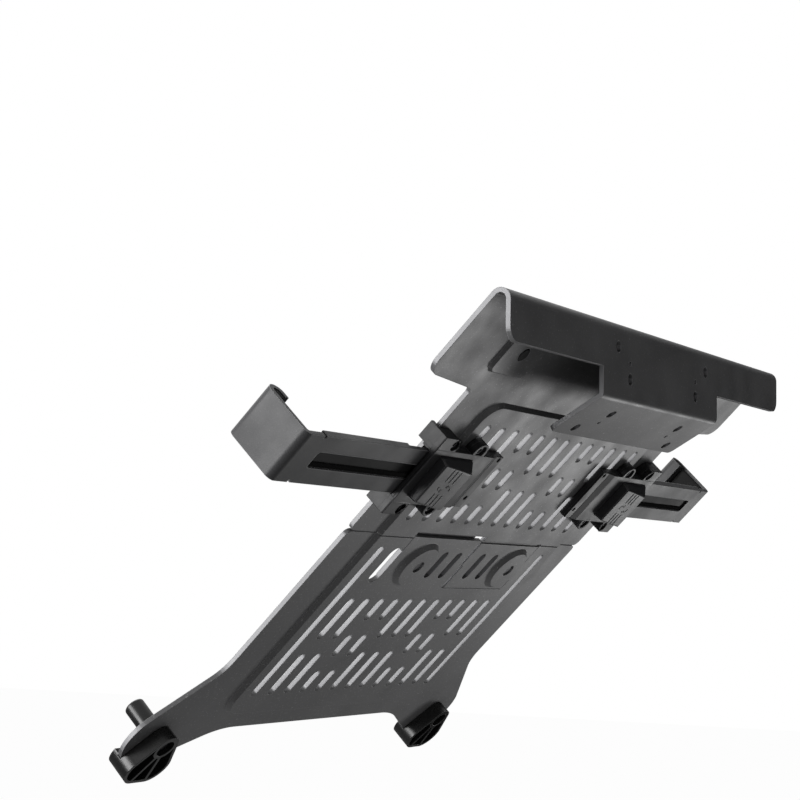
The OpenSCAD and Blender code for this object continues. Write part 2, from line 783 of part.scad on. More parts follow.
// Side view of the housing's block: foot, ramp and raised part
module housing_side2() {
    slope_w = -foot_plate_t - 1.2;
    polygon([
        [ramp_foot_x - 6, -seat_play], [ramp_foot_x - 6, -foot_plate_t], [ramp_foot_x, slope_w],
        [ramp_top_x, cover_w], [housing_outer_x, cover_w], [housing_outer_x, border_w],
        [neck_half_w + 0.4, border_w], [neck_half_w + 0.4, border_w - seat_play],
        [panel_half_w + 0.5, border_w - seat_play], [panel_half_w + 0.5, -seat_play]
    ]);
}

// Lugs of the inner housing screws and blocks round the outer ones
module housing_ears() {
    for (s = [-1, 1]) {
        ear_v = clamp_v + s * ear_half_v;
        wall_v = clamp_v + s * (half_housing - over);
        top_v = clamp_v + s * (half_housing + seat_play);
        end_v = clamp_v + s * (half_housing + end_block_l);
        along_w(-ear_h, -seat_play) {
            translate([ear_inner_x, ear_v]) circle(ear_r);
            box2(ear_inner_x - ear_r, ear_inner_x + ear_r, min(wall_v, ear_v), max(wall_v, ear_v));
        }
        along_w(cover_w, -seat_play)
            box2(end_block_inner_x, housing_outer_x, min(wall_v, end_v), max(wall_v, end_v));
        along_w(-housing_h, cover_w + over)
            box2(end_block_inner_x, housing_outer_x, min(top_v, end_v), max(top_v, end_v));
        along_w(-seat_play - over, border_w)
            box2(neck_half_w + 0.4, housing_outer_x, min(wall_v, end_v), max(wall_v, end_v));
        along_w(-seat_play - over, border_w - seat_play)
            box2(end_block_inner_x, neck_half_w + 0.5, min(wall_v, end_v), max(wall_v, end_v));
    }
}

module clamp_body_shape() {
    difference() {
        union() {
            along_v(clamp_v - half_housing, clamp_v + half_housing) housing_side2();
            along_w(-foot_plate_t, -seat_play)
                round_box2(housing_inner_x, ramp_foot_x, clamp_v - half_housing + 1,
                    clamp_v + half_housing - 1, 1.5);
            housing_ears();
        }
        along_w(shelf_w, border_w + over)
            box2(channel_inner_x, housing_outer_x + over, clamp_v - half_channel, clamp_v + half_channel);
        along_w(cover_w - over, shelf_w + over)
            box2(pocket_inner_x, pocket_outer_x, clamp_v - half_pocket, clamp_v + half_pocket);
        for (s = [-1, 1]) {
            ear_v = clamp_v + s * ear_half_v;
            for (x = [ear_inner_x, ear_outer_x]) translate([x, ear_v, 0]) {
                translate([0, 0, -housing_h - over])
                    cylinder(h = housing_h + over - ear_floor, d = ear_recess_d);
                translate([0, 0, -housing_h]) cylinder(h = housing_h + top_w,
                    d = clamp_screw_d + 2 * screw_play);
            }
            translate([foot_screw_x, clamp_v + s * foot_screw_half_v, -housing_h])
                cylinder(h = housing_h + over, d = clamp_screw_d + 2 * screw_play);
        }
        translate([pin_x, clamp_v - half_housing - over, pin_w]) rotate([-90, 0, 0])
            cylinder(h = housing_w + 2 * over, d = pin_d + 2 * pin_play);
    }
    // Ledges that carry the button's springs
    for (s = [-1, 1]) along_w(shelf_w - ledge_t, shelf_w)
        box2(pin_x + 5.5, pin_x + 9.5, clamp_v + (s < 0 ? -half_pocket - 0.5 : 5),
            clamp_v + (s < 0 ? -5 : half_pocket + 0.5));
}

module clamp_cover_shape() {
    along_w(-housing_h, cover_w) difference() {
        box2(ramp_top_x, housing_outer_x, clamp_v - half_housing, clamp_v + half_housing);
        box2(pocket_inner_x, pocket_outer_x, clamp_v - half_pocket, clamp_v + half_pocket);
        for (s = [-1, 1], x = [ear_inner_x, ear_outer_x])
            translate([x, clamp_v + s * ear_half_v]) circle(d = ear_recess_d);
    }
}

// Housing screws: four in the lugs and two at the inner end, the inner ones through tray slots
module clamp_screw(floor_w, nut_w) {
    translate([0, 0, floor_w - clamp_head_h]) cylinder(h = clamp_head_h, d = clamp_head_d);
    translate([0, 0, floor_w - over]) cylinder(h = nut_w + 1 - floor_w, d = clamp_screw_d);
    translate([0, 0, nut_w]) cylinder(h = 1.2, d = clamp_head_d + 1.4);
}

module clamp_screws_shape() {
    for (s = [-1, 1]) {
        translate([foot_screw_x, clamp_v + s * foot_screw_half_v, 0])
            clamp_screw(-foot_plate_t, sheet_t);
        translate([ear_inner_x, clamp_v + s * ear_half_v, 0]) clamp_screw(-ear_floor, sheet_t);
        translate([ear_outer_x, clamp_v + s * ear_half_v, 0]) clamp_screw(-ear_floor, top_w);
    }
}

// Button: top with grip ridges, lugs that straddle the pin, and a rib that pushes the pawl
module release_button_shape() {
    lug_end_w = shelf_w - button_travel;
    slot_low_w = pin_w - pin_d / 2 - button_travel - 0.1;
    slot_high_w = pin_w + pin_d / 2 + 0.1;
    difference() {
        union() {
            along_w(button_face_w, button_inside_w)
                round_box2(button_inner_x, button_outer_x, clamp_v - half_button,
                    clamp_v + half_button, 1);
            for (s = [-1, 1]) along_w(button_inside_w - 0.4, lug_end_w)
                box2(pin_x - lug_half_l, pin_x + lug_half_l,
                    clamp_v + (s < 0 ? -half_button : half_button - lug_t),
                    clamp_v + (s < 0 ? -half_button + lug_t : half_button));
        }
        along_v(clamp_v - half_button - over, clamp_v + half_button + over) {
            slot2(pin_x, slot_low_w, slot_high_w, pin_d + 0.2);
        }
    }
    along_w(button_inside_w - 0.4, pin_w - 0.9)
        box2(pawl_inner_x + 0.5, pawl_inner_x + 2.5, clamp_v - 8, clamp_v + 8);
    for (s = [-1, 1], n = [0:2]) along_w(button_face_w - ridge_h, button_face_w + 0.4)
        slot2(button_inner_x + 6.5 + 4 * n, clamp_v + s * 6.2 - 3.4, clamp_v + s * 6.2 + 3.4, 1.2);
}

// Leaf springs between the ledges and the button
module button_spring_shape() {
    r = (shelf_w - ledge_t - button_inside_w) / 2 - 0.05;
    mid_w = button_inside_w + r + 0.05;
    for (s = [-1, 1]) along_v(clamp_v + s * 8 - 1.6, clamp_v + s * 8 + 1.6)
        translate([pin_x + 7.2, mid_w]) bend2(r - 0.4, r, -90, 180, 0.6);
}

// Pawl: hub on the pin, arm with teeth below the rack, and arm above the button's rib
module pawl_shape() {
    difference() {
        union() {
            along_v(clamp_v - 8.8, clamp_v + 8.8) translate([pin_x, pin_w]) circle(d = hub_d);
            along_v(clamp_v - 3.2, clamp_v + 3.2) polygon([
                [pin_x, pin_w - 0.5], [pawl_outer_x, pin_w - 0.5], [pawl_outer_x, pawl_tip_w],
                [pawl_outer_x - 1, pawl_tip_w - 0.8], [pawl_outer_x - 2, pawl_tip_w],
                [pawl_outer_x - 3, pawl_tip_w - 0.8], [pawl_outer_x - 4, pawl_tip_w],
                [pawl_outer_x - 5, pawl_tip_w - 0.8], [pawl_outer_x - 5.6, pin_w + 0.7],
                [pin_x, pin_w + 0.7]
            ]);
            along_v(clamp_v - 7, clamp_v + 7)
                box2(pawl_inner_x, pin_x, pin_w - 0.6, pin_w + 0.4);
        }
        along_v(clamp_v - 9, clamp_v + 9) translate([pin_x, pin_w]) circle(d = pin_d + 2 * pin_play);
    }
}

module pawl_pin_shape() {
    translate([pin_x, clamp_v - half_housing + 0.2, pin_w]) rotate([-90, 0, 0])
        cylinder(h = housing_w - 0.4, d = pin_d);
}

// Side view of the arm: strap, bend, hook plate, curl and lip
module arm_side2() {
    hook_inner_x = hook_x - arm_t;
    curl_w = arm_under_w + hook_h - curl_r;
    curl_x = hook_x - curl_r;
    box2(arm_inner_x, hook_x - hook_bend_r, arm_under_w, arm_under_w + arm_t);
    translate([hook_x - hook_bend_r, arm_under_w + hook_bend_r])
        bend2(hook_bend_r - arm_t, hook_bend_r, -90, 90);
    box2(hook_inner_x, hook_x, arm_under_w + hook_bend_r, curl_w);
    translate([curl_x, curl_w]) bend2(curl_r - arm_t, curl_r, 0, 180);
    box2(hook_x - 2 * curl_r, hook_x - 2 * curl_r + arm_t, curl_w - lip_len, curl_w);
}

module arm_shape() {
    rack_x1 = hook_x - rack_start;
    rack_x0 = arm_inner_x + 6;
    rack_v0 = clamp_v - rack_w / 2;
    rim_x0 = panel_half_w + 1 + arm_travel;
    teeth = floor((rack_x1 - rack_x0) / tooth_pitch);
    recess_w = arm_under_w + rack_depth;
    difference() {
        along_v(clamp_v - half_arm, clamp_v + half_arm) arm_side2();
        along_w(arm_under_w - over, recess_w)
            round_box2(rack_x0, rack_x1, rack_v0, rack_v0 + rack_w, 1.5);
        for (s = [-1, 1]) along_w(arm_under_w - over, over)
            box2(hook_x - notch_dist - 0.8, hook_x - notch_dist + 0.8,
                clamp_v + (s < 0 ? -half_arm - over : half_arm - 1.2),
                clamp_v + (s < 0 ? -half_arm + 1.2 : half_arm + over));
    }
    for (s = [-1, 1]) along_w(-arm_play - 0.2, -arm_play + arm_rim_h)
        box2(rim_x0, hook_x - notch_dist - 0.8, clamp_v + (s < 0 ? -half_arm : half_arm - arm_rim_w),
            clamp_v + (s < 0 ? -half_arm + arm_rim_w : half_arm));
    along_v(rack_v0 + 0.1, rack_v0 + tooth_w) polygon(concat(
        [[rack_x1 - 1, recess_w + 0.2], [rack_x1 - 1 - (teeth - 1) * tooth_pitch, recess_w + 0.2]],
        [for (n = [teeth - 1:-1:0.5], half = [0, 1])
            [rack_x1 - 1 - (n - half / 2) * tooth_pitch, recess_w - half * tooth_h]]
    ));
}

// Foam in the curl of the hook
module lip_pad_shape() {
    curl_w = arm_under_w + hook_h - curl_r;
    r = curl_r - arm_t - 0.1;
    along_v(clamp_v - half_arm + 0.3, clamp_v + half_arm - 0.3) {
        translate([hook_x - curl_r, curl_w]) circle(r);
        box2(hook_x - curl_r - r, hook_x - curl_r + r, curl_w - lip_len - 0.5, curl_w);
    }
}

// Thin pad on the inner face of the hook
module hook_pad_shape() {
    pad_top_w = arm_under_w + hook_h - curl_r - lip_len - 1;
    along_v(clamp_v - half_arm + 1.2, clamp_v + half_arm - 1.2)
        box2(hook_x - arm_t - hook_pad_t, hook_x - arm_t, arm_under_w + hook_bend_r + 0.6, pad_top_w);
}

// Outline of a foot: one round end under the leg's screw and two round front corners
module foot_outline2(shrink) {
    r1 = foot_rear_r - shrink;
    r2 = foot_front_r - shrink;
    front_v = leg_v - foot_front_out;
    c_out = [leg_x + foot_front_half_w, front_v];
    c_in = [leg_x - foot_front_half_w, front_v];
    t_out = touch(leg_c, r1 - bite, c_out, r2 - bite, 1);
    t_in = touch(leg_c, r1 - bite, c_in, r2 - bite, -1);
    translate(leg_c) circle(r1);
    translate(c_out) circle(r2);
    translate(c_in) circle(r2);
    polygon([leg_c, t_out[0], t_out[1], c_out, [c_out[0], front_v - r2],
        [c_in[0], front_v - r2], c_in, t_in[1], t_in[0]]);
}

module foot_shape() {
    lip_rear_v = leg_v - foot_front_out - foot_front_r + foot_lip_l;
    roof_w = border_w - seat_play;
    edge_r = leg_r + foot_play - bite;
    edge = touch(front_c, front_fillet_r - foot_play + bite, leg_c, -edge_r, 1);
    difference() {
        union() {
            along_w(-foot_depth, roof_w) foot_outline2(0);
            intersection() {
                along_w(roof_w - over, top_w + foot_lip_h) foot_outline2(0);
                along_w(roof_w - over, top_w + foot_lip_h) box2(leg_x - 20, leg_x + 20,
                    leg_v - foot_front_out - foot_front_r - over, lip_rear_v);
            }
        }
        difference() {
            along_w(-foot_depth - over, roof_w - foot_wall) foot_outline2(foot_wall);
            along_w(-foot_depth - over, roof_w) {
                translate(leg_c) circle(foot_ring_r + foot_wall);
                for (a = [-14, 14]) translate(leg_c) rotate(a)
                    box2(-foot_wall / 2, foot_wall / 2, -25, -foot_ring_r);
            }
        }
        translate([leg_x, leg_v, -foot_depth - over])
            cylinder(h = foot_depth + over + roof_w - foot_wall, r = foot_ring_r);
        translate([leg_x, leg_v, -foot_depth])
            cylinder(h = foot_depth + top_w, d = foot_screw_d + 2 * screw_play);
        along_w(roof_w, top_w + seat_play) {
            translate(leg_c) circle(leg_r + foot_play);
            polygon([leg_c, edge[1], edge[0], [edge[0][0], leg_v]]);
        }
    }
}

// Stop post with a blind hole for the foot's screw
module stop_post_shape() {
    edge = 1.2;
    translate([leg_x, leg_v, top_w + seat_play]) rotate_extrude() difference() {
        union() {
            box2(0, post_d / 2, 0, post_h - edge);
            box2(0, post_d / 2 - edge, 0, post_h);
            translate([post_d / 2 - edge, post_h - edge]) circle(edge);
        }
        box2(-edge, foot_screw_d / 2 + screw_play, -over, post_h - 3);
        box2(-post_d, 0, -over, post_h + over);
    }
}

module foot_screw_shape() {
    head_w = border_w - seat_play - foot_wall;
    translate([leg_x, leg_v, 0]) difference() {
        union() {
            translate([0, 0, head_w - foot_head_h]) cylinder(h = foot_head_h, d = foot_head_d);
            translate([0, 0, head_w - over]) cylinder(h = top_w + post_h - 4 - head_w + over,
                d = foot_screw_d);
        }
        translate([0, 0, head_w - foot_head_h - over]) cylinder(h = 1.8 + over, d = 4.4, $fn = 6);
    }
}

// The two sides of each handed piece
housing_color = [0.17, 0.17, 0.18];
cover_color = [0.20, 0.20, 0.21];
button_color = [0.35, 0.36, 0.37];
arm_color = [0.36, 0.37, 0.38];
steel_color = [0.62, 0.63, 0.65];
rubber_color = [0.06, 0.06, 0.06];

module left_clamp_body() { color(housing_color) tray_frame() on_side(-1) clamp_body_shape(); }
module right_clamp_body() { color(housing_color) tray_frame() on_side(1) clamp_body_shape(); }
module left_clamp_cover() { color(cover_color) tray_frame() on_side(-1) clamp_cover_shape(); }
module right_clamp_cover() { color(cover_color) tray_frame() on_side(1) clamp_cover_shape(); }
module left_clamp_screws() { color(steel_color) tray_frame() on_side(-1) clamp_screws_shape(); }
module right_clamp_screws() { color(steel_color) tray_frame() on_side(1) clamp_screws_shape(); }
module left_release_button() { color(button_color) tray_frame() on_side(-1) release_button_shape(); }
module right_release_button() { color(button_color) tray_frame() on_side(1) release_button_shape(); }
module left_button_spring() { color(steel_color) tray_frame() on_side(-1) button_spring_shape(); }
module right_button_spring() { color(steel_color) tray_frame() on_side(1) button_spring_shape(); }
module left_pawl() { color(steel_color) tray_frame() on_side(-1) pawl_shape(); }
module right_pawl() { color(steel_color) tray_frame() on_side(1) pawl_shape(); }
module left_pawl_pin() { color(steel_color) tray_frame() on_side(-1) pawl_pin_shape(); }
module right_pawl_pin() { color(steel_color) tray_frame() on_side(1) pawl_pin_shape(); }
module left_arm() { color(arm_color) tray_frame() on_side(-1) arm_shape(); }
module right_arm() { color(arm_color) tray_frame() on_side(1) arm_shape(); }
module left_lip_pad() { color(rubber_color) tray_frame() on_side(-1) lip_pad_shape(); }
module right_lip_pad() { color(rubber_color) tray_frame() on_side(1) lip_pad_shape(); }
module left_hook_pad() { color(rubber_color) tray_frame() on_side(-1) hook_pad_shape(); }
module right_hook_pad() { color(rubber_color) tray_frame() on_side(1) hook_pad_shape(); }
module left_foot() { color(rubber_color) tray_frame() on_side(-1) foot_shape(); }
module right_foot() { color(rubber_color) tray_frame() on_side(1) foot_shape(); }
module left_stop_post() { color(rubber_color) tray_frame() on_side(-1) stop_post_shape(); }
module right_stop_post() { color(rubber_color) tray_frame() on_side(1) stop_post_shape(); }
module left_foot_screw() { color(steel_color) tray_frame() on_side(-1) foot_screw_shape(); }
module right_foot_screw() { color(steel_color) tray_frame() on_side(1) foot_screw_shape(); }

rear_tray_plate();
front_tray_plate();
plate_screws();
rear_bumpers();
left_clamp_body();
right_clamp_body();
left_clamp_cover();
right_clamp_cover();
left_clamp_screws();
right_clamp_screws();
left_release_button();
right_release_button();
left_button_spring();
right_button_spring();
left_pawl();
right_pawl();
left_pawl_pin();
right_pawl_pin();
left_arm();
right_arm();
left_lip_pad();
right_lip_pad();
left_hook_pad();
right_hook_pad();
left_foot();
right_foot();
left_stop_post();
right_stop_post();
left_foot_screw();
right_foot_screw();
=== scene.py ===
import math
import bmesh
import bpy
from mathutils import Matrix, Vector


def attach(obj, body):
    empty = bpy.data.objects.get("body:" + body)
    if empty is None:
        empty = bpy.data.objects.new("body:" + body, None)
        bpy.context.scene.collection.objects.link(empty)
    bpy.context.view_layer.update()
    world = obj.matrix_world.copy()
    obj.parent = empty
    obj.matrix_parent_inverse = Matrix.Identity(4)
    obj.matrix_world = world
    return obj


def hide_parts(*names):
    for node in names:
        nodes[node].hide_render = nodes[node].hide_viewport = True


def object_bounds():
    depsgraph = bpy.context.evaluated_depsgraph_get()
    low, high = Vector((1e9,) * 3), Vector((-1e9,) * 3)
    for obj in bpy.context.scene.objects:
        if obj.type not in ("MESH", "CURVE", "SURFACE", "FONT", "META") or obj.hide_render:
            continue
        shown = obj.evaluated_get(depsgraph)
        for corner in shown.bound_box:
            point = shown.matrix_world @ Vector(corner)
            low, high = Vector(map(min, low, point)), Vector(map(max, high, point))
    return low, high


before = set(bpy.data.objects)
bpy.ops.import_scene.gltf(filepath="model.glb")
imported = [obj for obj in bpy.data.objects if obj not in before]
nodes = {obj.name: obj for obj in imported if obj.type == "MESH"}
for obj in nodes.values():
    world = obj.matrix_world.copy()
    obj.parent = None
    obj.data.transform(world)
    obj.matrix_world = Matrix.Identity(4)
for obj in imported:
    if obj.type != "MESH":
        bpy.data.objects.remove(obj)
cadLow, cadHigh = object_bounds()
print("frame loaded:", len(nodes), "CAD nodes")

# the tray's own axes: x across, v up the slope, w square to the plate, in millimetres
tray = {"incline": 45, "apexV": 170, "apexZ": 17, "topW": 4}
millimetre = 0.001
trayToWorld = (
    Matrix.Scale(millimetre, 4)
    @ Matrix.Translation((0, 0, tray["apexZ"]))
    @ Matrix.Rotation(math.radians(tray["incline"]), 4, "X")
    @ Matrix.Translation((0, -tray["apexV"], -tray["topW"]))
)
sides = {"left": -1, "right": 1}


# camera and light
view = {
    "place": (0.76908, 0.31087, -0.10110),
    "right": (-0.49835, 0.86680, 0.01767),
    "up": (0.09442, 0.03400, 0.99495),
    "lens": 85.14,
    "sensor": 36,
    "clip": (0.01, 100),
}


def makeCamera():
    right, up = Vector(view["right"]), Vector(view["up"])
    camera = bpy.data.objects.new("camera", bpy.data.cameras.new("camera"))
    bpy.context.scene.collection.objects.link(camera)
    turn = Matrix((right, up, right.cross(up))).transposed()
    camera.matrix_world = Matrix.Translation(view["place"]) @ turn.to_4x4()
    camera.data.lens, camera.data.sensor_width = view["lens"], view["sensor"]
    camera.data.clip_start, camera.data.clip_end = view["clip"]
    bpy.context.scene.camera = camera


studio = {
    "floorZ": -1.25,
    "floorSize": 30,
    "floorColour": (0.82, 0.82, 0.82, 1),
    "floorRoughness": 0.9,
    "floorLift": 0.85,
    "ambient": 0.16,
    "lamps": {
        # name: direction from the object, distance, size, power in watts
        "sideSoftbox": ((0.86, -0.5, 0.12), 1.3, 0.65, 20),
        "lowSheen": ((-0.88, 0.24, -0.41), 1.09, 0.32, 2.2),
        "overhead": ((-0.25, -0.55, 0.8), 1.5, 1.2, 10),
    },
    # dark card that the upright faces reflect: direction, distance, size
    "card": ((-1.5, 0.6, -0.12), 1.62, 2.3),
    "cardColour": (0.01, 0.01, 0.01, 1),
}


def seenDirectly(nodeTree):
    # 1 for camera, glossy and transmission rays
    path = nodeTree.nodes.new("ShaderNodeLightPath")
    first = nodeTree.nodes.new("ShaderNodeMath")
    second = nodeTree.nodes.new("ShaderNodeMath")
    first.operation = second.operation = "MAXIMUM"
    nodeTree.links.new(path.outputs["Is Camera Ray"], first.inputs[0])
    nodeTree.links.new(path.outputs["Is Glossy Ray"], first.inputs[1])
    nodeTree.links.new(first.outputs[0], second.inputs[0])
    nodeTree.links.new(path.outputs["Is Transmission Ray"], second.inputs[1])
    return second.outputs[0]


def makeWorld():
    world = bpy.data.worlds.new("studio")
    bpy.context.scene.world = world
    world.use_nodes = True
    tree = world.node_tree
    ambient = tree.nodes["Background"]
    ambient.inputs["Color"].default_value = (1, 1, 1, 1)
    ambient.inputs["Strength"].default_value = studio["ambient"]
    white = tree.nodes.new("ShaderNodeBackground")
    white.inputs["Color"].default_value = (1, 1, 1, 1)
    mix = tree.nodes.new("ShaderNodeMixShader")
    tree.links.new(seenDirectly(tree), mix.inputs["Fac"])
    tree.links.new(ambient.outputs[0], mix.inputs[1])
    tree.links.new(white.outputs[0], mix.inputs[2])
    tree.links.new(mix.outputs[0], tree.nodes["World Output"].inputs["Surface"])


def plainSheet(name, size, place, materialName, colour):
    # square sheet of the set, without shine
    bm = bmesh.new()
    bmesh.ops.create_grid(bm, x_segments=1, y_segments=1, size=size / 2)
    bmesh.ops.transform(bm, matrix=place, verts=bm.verts)
    sheet = newObject(name, bm)
    paint = bpy.data.materials.new(materialName)
    paint.use_nodes = True
    surface = paint.node_tree.nodes["Principled BSDF"]
    surface.inputs["Base Color"].default_value = colour
    surface.inputs["Specular IOR Level"].default_value = 0
    sheet.data.materials.append(paint)
    return sheet, paint.node_tree, surface


def makeStudio():
    makeWorld()
    place = Matrix.Translation((0, 0, studio["floorZ"]))
    floor, tree, surface = plainSheet("floor", studio["floorSize"], place, "paleFloor",
                                      studio["floorColour"])
    surface.inputs["Roughness"].default_value = studio["floorRoughness"]
    # lifted to white where the camera sees it, so that no horizon shows
    surface.inputs["Emission Color"].default_value = (1, 1, 1, 1)
    lift = tree.nodes.new("ShaderNodeMath")
    lift.operation = "MULTIPLY"
    lift.inputs[1].default_value = studio["floorLift"]
    path = tree.nodes.new("ShaderNodeLightPath")
    tree.links.new(path.outputs["Is Camera Ray"], lift.inputs[0])
    tree.links.new(lift.outputs[0], surface.inputs["Emission Strength"])

    aim = (cadLow + cadHigh) / 2
    direction, distance, size = studio["card"]
    away = Vector(direction).normalized()
    place = Matrix.Translation(aim + away * distance)
    place = place @ away.to_track_quat("Z", "Y").to_matrix().to_4x4()
    card = plainSheet("darkCard", size, place, "darkFelt", studio["cardColour"])[0]
    card.visible_camera = card.visible_diffuse = card.visible_shadow = False

    for name, (direction, distance, size, power) in studio["lamps"].items():
        lamp = bpy.data.lights.new(name, "AREA")
        lamp.shape, lamp.size, lamp.energy = "SQUARE", size, power
        holder = bpy.data.objects.new(name, lamp)
        bpy.context.scene.collection.objects.link(holder)
        away = Vector(direction).normalized()
        holder.location = aim + away * distance
        holder.rotation_euler = away.to_track_quat("Z", "Y").to_euler()
        holder.visible_camera = False
    bpy.context.scene.view_settings.view_transform = "Standard"


def newObject(name, bm, smooth=None):
    mesh = bpy.data.meshes.new(name)
    bm.to_mesh(mesh)
    bm.free()
    made = bpy.data.objects.new(name, mesh)
    bpy.context.scene.collection.objects.link(made)
    if smooth is not None:
        mesh.shade_smooth()
        mesh.set_sharp_from_angle(angle=math.radians(smooth))
    return made


makeCamera()
makeStudio()
print("camera and studio made")


# finishes
def noise(tree, size, detail, place):
    texture = tree.nodes.new("ShaderNodeTexNoise")
    texture.inputs["Scale"].default_value = 1 / size
    texture.inputs["Detail"].default_value = detail
    tree.links.new(place, texture.inputs["Vector"])
    return texture.outputs["Fac"]


def remap(tree, value, low, high, toLow, toHigh):
    node = tree.nodes.new("ShaderNodeMapRange")
    limits = (low, high, toLow, toHigh)
    for socket, number in zip(("From Min", "From Max", "To Min", "To Max"), limits):
        node.inputs[socket].default_value = number
    tree.links.new(value, node.inputs["Value"])
    return node.outputs["Result"]


def mixColour(tree, factor, first, second):
    node = tree.nodes.new("ShaderNodeMix")
    node.data_type = "RGBA"
    tree.links.new(factor, node.inputs["Factor"])
    # sockets 6 and 7 take the two colours, and output 2 gives the mix
    for socket, colour in ((node.inputs[6], first), (node.inputs[7], second)):
        if hasattr(colour, "is_output"):
            tree.links.new(colour, socket)
        else:
            socket.default_value = (*colour, 1)
    return node.outputs[2]


def within(tree, value, low, high):
    # 1 where the value lies between two levels, and 0 elsewhere
    node = tree.nodes.new("ShaderNodeMath")
    node.operation = "COMPARE"
    tree.links.new(value, node.inputs[0])
    node.inputs[1].default_value, node.inputs[2].default_value = (low + high) / 2, (high - low) / 2
    return node.outputs[0]


def times(tree, first, second):
    node = tree.nodes.new("ShaderNodeMath")
    node.operation = "MULTIPLY"
    tree.links.new(first, node.inputs[0])
    tree.links.new(second, node.inputs[1])
    return node.outputs[0]


def absolute(tree, value):
    node = tree.nodes.new("ShaderNodeMath")
    node.operation = "ABSOLUTE"
    tree.links.new(value, node.inputs[0])
    return node.outputs[0]


def trayCoordinate(tree, place, axis):
    # x, v or w of a point, in metres along the tray's own axes
    toTray = trayToWorld.inverted()
    dot = tree.nodes.new("ShaderNodeVectorMath")
    dot.operation = "DOT_PRODUCT"
    dot.inputs[1].default_value = Vector(toTray[axis][:3]) * millimetre
    tree.links.new(place, dot.inputs[0])
    shift = tree.nodes.new("ShaderNodeMath")
    shift.inputs[1].default_value = toTray[axis][3] * millimetre
    tree.links.new(dot.outputs["Value"], shift.inputs[0])
    return shift.outputs[0]


# levels between which each mask goes from nothing to full, and the detail of each noise
masks = {
    "blotch": (0.35, 0.65), "speck": (0.62, 0.75), "gloss": (0.3, 0.7), "glossShare": 0.4,
    "wearAndHighlight": (0.995, 0.86), "wearAndHighlightSamples": 12, "cut": (0.88, 0.98), "recessShine": 0.04,
    "blotchDetail": 4, "grainDetail": 2, "glossDetail": 3,
}


def makeFinish(name, look):
    # blotches and grain in the colour, uneven gloss, fine bumps, and edges lighter, partly as wear
    # and partly as a painted highlight
    material = bpy.data.materials.new(name)
    material.use_nodes = True
    tree = material.node_tree
    shader = tree.nodes["Principled BSDF"]
    place = tree.nodes.new("ShaderNodeTexCoord").outputs["Object"]
    blotch = noise(tree, look["blotchSize"], masks["blotchDetail"], place)
    blotch = remap(tree, blotch, *masks["blotch"], 0, 1)
    grain = noise(tree, look["grainSize"], masks["grainDetail"], place)
    colour = mixColour(tree, blotch, look["dark"], look["light"])
    speck = remap(tree, grain, *masks["speck"], 0, look["speck"])
    colour = mixColour(tree, speck, colour, look["speckColour"])

    soft = tree.nodes.new("ShaderNodeBevel")
    soft.samples = masks["wearAndHighlightSamples"]
    soft.inputs["Radius"].default_value = look["edge"]
    flat = tree.nodes.new("ShaderNodeNewGeometry")
    align = tree.nodes.new("ShaderNodeVectorMath")
    align.operation = "DOT_PRODUCT"
    tree.links.new(soft.outputs["Normal"], align.inputs[0])
    tree.links.new(flat.outputs["Normal"], align.inputs[1])
    # edges painted lighter: partly wear, partly a painted highlight where edges would catch the
    # light
    wearAndHighlight = remap(tree, align.outputs["Value"], *masks["wearAndHighlight"], 0, look["wearAndHighlight"])
    colour = mixColour(tree, wearAndHighlight, colour, look["wearAndHighlightColour"])

    if "cutEdge" in look:
        # sheared edges and slot walls that face across the tray are painted paler than the coated
        # faces, a painted highlight of the side light
        turn = tree.nodes.new("ShaderNodeSeparateXYZ")
        tree.links.new(flat.outputs["True Normal"], turn.inputs[0])
        cut = remap(tree, absolute(tree, turn.outputs["X"]), *masks["cut"], 0, 1)
        colour = mixColour(tree, cut, colour, look["cutEdge"])
    if "recess" in look:
        # the arm's recess is coloured darker and shines less: limits in millimetres of |x|, v and
        # w
        limits, dark = look["recess"]
        coordinates = [absolute(tree, trayCoordinate(tree, place, 0)),
                       trayCoordinate(tree, place, 1), trayCoordinate(tree, place, 2)]
        near = [within(tree, value, low * millimetre, high * millimetre)
                for value, (low, high) in zip(coordinates, limits)]
        inside = times(tree, times(tree, near[0], near[1]), near[2])
        colour = mixColour(tree, inside, colour, dark)
        sheen = remap(tree, inside, 0, 1, look["shine"], masks["recessShine"])
        tree.links.new(sheen, shader.inputs["Specular IOR Level"])
    tree.links.new(colour, shader.inputs["Base Color"])

    gloss = noise(tree, look["blotchSize"] * masks["glossShare"], masks["glossDetail"], place)
    gloss = remap(tree, gloss, *masks["gloss"], *look["rough"])
    tree.links.new(gloss, shader.inputs["Roughness"])
    bump = tree.nodes.new("ShaderNodeBump")
    bump.inputs["Strength"].default_value = look["bump"]
    bump.inputs["Distance"].default_value = look["bumpDepth"]
    tree.links.new(grain, bump.inputs["Height"])
    tree.links.new(soft.outputs["Normal"], bump.inputs["Normal"])
    tree.links.new(bump.outputs["Normal"], shader.inputs["Normal"])
    shader.inputs["Metallic"].default_value = look["metal"]
    shader.inputs["Specular IOR Level"].default_value = look["shine"]
    return material


powderCoat = {
    "dark": (0.072, 0.072, 0.074), "light": (0.090, 0.090, 0.092),
    "speckColour": (0.22, 0.22, 0.22), "speck": 0.9, "blotchSize": 0.05, "grainSize": 0.001,
    "rough": (0.42, 0.55), "bump": 0.5, "bumpDepth": 0.00006, "metal": 0, "shine": 0.5,
    "edge": 0.0004, "wearAndHighlight": 0.55, "wearAndHighlightColour": (0.30, 0.30, 0.31), "cutEdge": (0.25, 0.25, 0.26),
}
armCoat = {
    "dark": (0.032, 0.032, 0.033), "light": (0.042, 0.042, 0.044),
    "speckColour": (0.16, 0.16, 0.16), "speck": 0.25, "blotchSize": 0.05, "grainSize": 0.0005,
    "rough": (0.42, 0.55), "bump": 0.5, "bumpDepth": 0.00006, "metal": 0, "shine": 0.24,
    "edge": 0.0005, "wearAndHighlight": 0.8, "wearAndHighlightColour": (0.42, 0.42, 0.43),
    "recess": (((60, 190), (70.9, 79.1), (-2.2, -0.9)), (0.010, 0.010, 0.010)),
}
